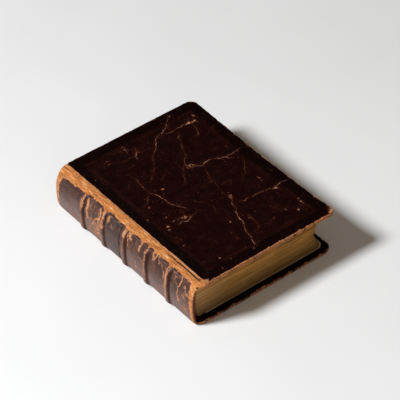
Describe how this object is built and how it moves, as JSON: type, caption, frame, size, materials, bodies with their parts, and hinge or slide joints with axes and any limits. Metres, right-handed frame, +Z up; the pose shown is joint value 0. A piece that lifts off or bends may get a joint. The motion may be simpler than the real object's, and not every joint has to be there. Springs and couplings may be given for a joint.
{
  "type": "prayer book",
  "caption": "Antique leather-bound prayer book with a rounded spine, raised bands, a blank spine label and tan worn edges; its covers and front leaves open.",
  "frame": {"origin": "centre of the closed book's bounding box, on the table plane under the back cover", "axes": "+Z up through the thickness, +X from the spine to the fore edge, +Y from the tail to the head"},
  "size_m": [0.13, 0.16, 0.038],
  "materials": {
    "cover_leather": "glossy dark maroon, crackled and worn tan at the edges",
    "spine_leather": "satin brown, rubbed tan on the bands",
    "worn_leather": "rubbed through to tan suede",
    "label_leather": "satin, dulled",
    "pasteboard": "matte grey-brown",
    "endpaper": "matte, foxed",
    "leaves": "matte with dulled gilt on the edges",
    "folds": "paper folds filled with brown glue",
    "lining_cloth": "open weave, glued",
    "hemp_cord": "twisted",
    "linen_thread": "waxed",
    "silk": "satin"
  },
  "bodies": {
    "back_cover": {"back_cover_leather": "cover_leather", "back_board": "pasteboard", "back_pastedown": "endpaper", "back_joint_leather": "worn_leather"},
    "text_block": {"sewn_folds": "folds", "spine_leather": "spine_leather", "spine_label": "label_leather", "spine_lining_1": "lining_cloth", "spine_lining_2": "lining_cloth", "spine_lining_3": "lining_cloth", "spine_lining_4": "lining_cloth", "spine_lining_5": "lining_cloth", "spine_lining_6": "lining_cloth", "raised_cord_1": "hemp_cord", "raised_cord_2": "hemp_cord", "raised_cord_3": "hemp_cord", "raised_cord_4": "hemp_cord", "raised_cord_5": "hemp_cord", "headband_head": "silk", "headband_tail": "silk", "kettle_stitch_head": "linen_thread", "kettle_stitch_tail": "linen_thread", "gathering_09": "leaves", "gathering_10": "leaves", "gathering_11": "leaves", "gathering_12": "leaves", "gathering_13": "leaves", "gathering_14": "leaves", "gathering_15": "leaves", "gathering_16": "leaves", "back_flyleaf": "endpaper"},
    "front_cover": {"front_cover_leather": "cover_leather", "front_board": "pasteboard", "front_pastedown": "endpaper", "front_joint_leather": "worn_leather"},
    "leaf_front_flyleaf": {"front_flyleaf": "endpaper"},
    "leaf_gathering_01": {"gathering_01": "leaves"},
    "leaf_gathering_02": {"gathering_02": "leaves"},
    "leaf_gathering_03": {"gathering_03": "leaves"},
    "leaf_gathering_04": {"gathering_04": "leaves"},
    "leaf_gathering_05": {"gathering_05": "leaves"},
    "leaf_gathering_06": {"gathering_06": "leaves"},
    "leaf_gathering_07": {"gathering_07": "leaves"},
    "leaf_gathering_08": {"gathering_08": "leaves"}
  },
  "joints": [
    {"name": "back_cover_hinge", "type": "hinge", "parent": "back_cover", "child": "text_block", "pos_m": [-0.05897, 0, 0.0007], "axis": [0, -1, 0], "range_deg": [0, 50]},
    {"name": "front_cover_hinge", "type": "hinge", "parent": "text_block", "child": "front_cover", "pos_m": [-0.05627, 0, 0.0368], "axis": [0, -1, 0], "range_deg": [0, 140]},
    {"name": "front_flyleaf_turn", "type": "hinge", "parent": "text_block", "child": "leaf_front_flyleaf", "pos_m": [-0.04847, 0, 0.0349], "axis": [0, -1, 0], "range_deg": [0, 126]},
    {"name": "gathering_01_turn", "type": "hinge", "parent": "text_block", "child": "leaf_gathering_01", "pos_m": [-0.04847, 0, 0.0349], "axis": [0, -1, 0], "range_deg": [0, 109.2]},
    {"name": "gathering_02_turn", "type": "hinge", "parent": "text_block", "child": "leaf_gathering_02", "pos_m": [-0.04847, 0, 0.0349], "axis": [0, -1, 0], "range_deg": [0, 95.2]},
    {"name": "gathering_03_turn", "type": "hinge", "parent": "text_block", "child": "leaf_gathering_03", "pos_m": [-0.04847, 0, 0.0349], "axis": [0, -1, 0], "range_deg": [0, 81.2]},
    {"name": "gathering_04_turn", "type": "hinge", "parent": "text_block", "child": "leaf_gathering_04", "pos_m": [-0.04847, 0, 0.0349], "axis": [0, -1, 0], "range_deg": [0, 67.2]},
    {"name": "gathering_05_turn", "type": "hinge", "parent": "text_block", "child": "leaf_gathering_05", "pos_m": [-0.04847, 0, 0.0349], "axis": [0, -1, 0], "range_deg": [0, 53.2]},
    {"name": "gathering_06_turn", "type": "hinge", "parent": "text_block", "child": "leaf_gathering_06", "pos_m": [-0.04847, 0, 0.0349], "axis": [0, -1, 0], "range_deg": [0, 39.2]},
    {"name": "gathering_07_turn", "type": "hinge", "parent": "text_block", "child": "leaf_gathering_07", "pos_m": [-0.04847, 0, 0.0349], "axis": [0, -1, 0], "range_deg": [0, 25.2]},
    {"name": "gathering_08_turn", "type": "hinge", "parent": "text_block", "child": "leaf_gathering_08", "pos_m": [-0.04847, 0, 0.0349], "axis": [0, -1, 0], "range_deg": [0, 11.2]}
  ],
  "couplings": [
    {"joint": "front_flyleaf_turn", "follows": "front_cover_hinge", "ratio": 0.9},
    {"joint": "gathering_01_turn", "follows": "front_cover_hinge", "ratio": 0.78},
    {"joint": "gathering_02_turn", "follows": "front_cover_hinge", "ratio": 0.68},
    {"joint": "gathering_03_turn", "follows": "front_cover_hinge", "ratio": 0.58},
    {"joint": "gathering_04_turn", "follows": "front_cover_hinge", "ratio": 0.48},
    {"joint": "gathering_05_turn", "follows": "front_cover_hinge", "ratio": 0.38},
    {"joint": "gathering_06_turn", "follows": "front_cover_hinge", "ratio": 0.28},
    {"joint": "gathering_07_turn", "follows": "front_cover_hinge", "ratio": 0.18},
    {"joint": "gathering_08_turn", "follows": "front_cover_hinge", "ratio": 0.08}
  ]
}
